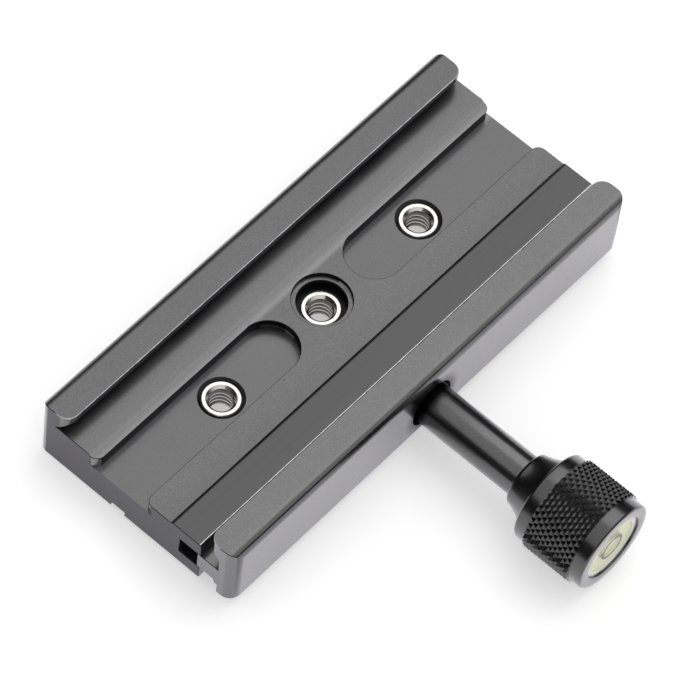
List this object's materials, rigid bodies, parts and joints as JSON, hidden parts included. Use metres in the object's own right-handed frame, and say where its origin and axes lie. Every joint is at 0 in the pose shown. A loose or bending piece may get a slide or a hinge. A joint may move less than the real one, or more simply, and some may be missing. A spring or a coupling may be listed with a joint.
{
  "type": "dovetail quick-release clamp",
  "caption": "Long dovetail quick-release clamp: fixed jaw and seat, screw-moved jaw, long-stemmed knurled knob with a bullseye level, threaded bushings in the base.",
  "frame": {"origin": "where the clamp screw's axis crosses the middle bushing's axis", "axes": "+X along the jaws, +Y from the knob to the fixed jaw, +Z from the base to the plate seats"},
  "size_m": [0.12, 0.101, 0.022],
  "materials": {
    "black_anodised": "bead-blasted, black anodised",
    "stainless": "turned stainless steel",
    "spring_steel": "drawn spring wire",
    "white_plastic": "moulded, white",
    "clear_plastic": "moulded, clear",
    "level_liquid": "clear yellow-green liquid",
    "air": "bubble in the liquid"
  },
  "bodies": {
    "clamp": {"clamp_body": "black_anodised", "bushing_left": "stainless", "bushing_middle": "stainless", "bushing_right": "stainless", "guide_pin_left": "stainless", "guide_pin_right": "stainless", "return_spring_left": "spring_steel", "return_spring_right": "spring_steel"},
    "jaw": {"moving_jaw": "black_anodised", "thrust_washer": "stainless"},
    "knob": {"clamp_screw": "stainless", "stem": "black_anodised", "knob": "black_anodised", "knob_screw": "stainless", "knob_screw_washer": "stainless", "level_back": "white_plastic", "level_case": "clear_plastic", "level_fluid": "level_liquid", "level_bubble": "air"}
  },
  "joints": [
    {"name": "jaw_slide", "type": "slide", "parent": "clamp", "child": "jaw", "axis": [0, 1, 0], "range_m": [-0.0008, 0.0035], "deforming": ["return_spring_left", "return_spring_right"]},
    {"name": "knob_turn", "type": "hinge", "parent": "jaw", "child": "knob", "pos_m": [0, 0, 0], "axis": [0, 1, 0], "range_deg": [-288.5, 1260.5]}
  ],
  "couplings": [
    {"joint": "knob_turn", "follows": "jaw_slide", "rad_per_m": 6283.2}
  ]
}
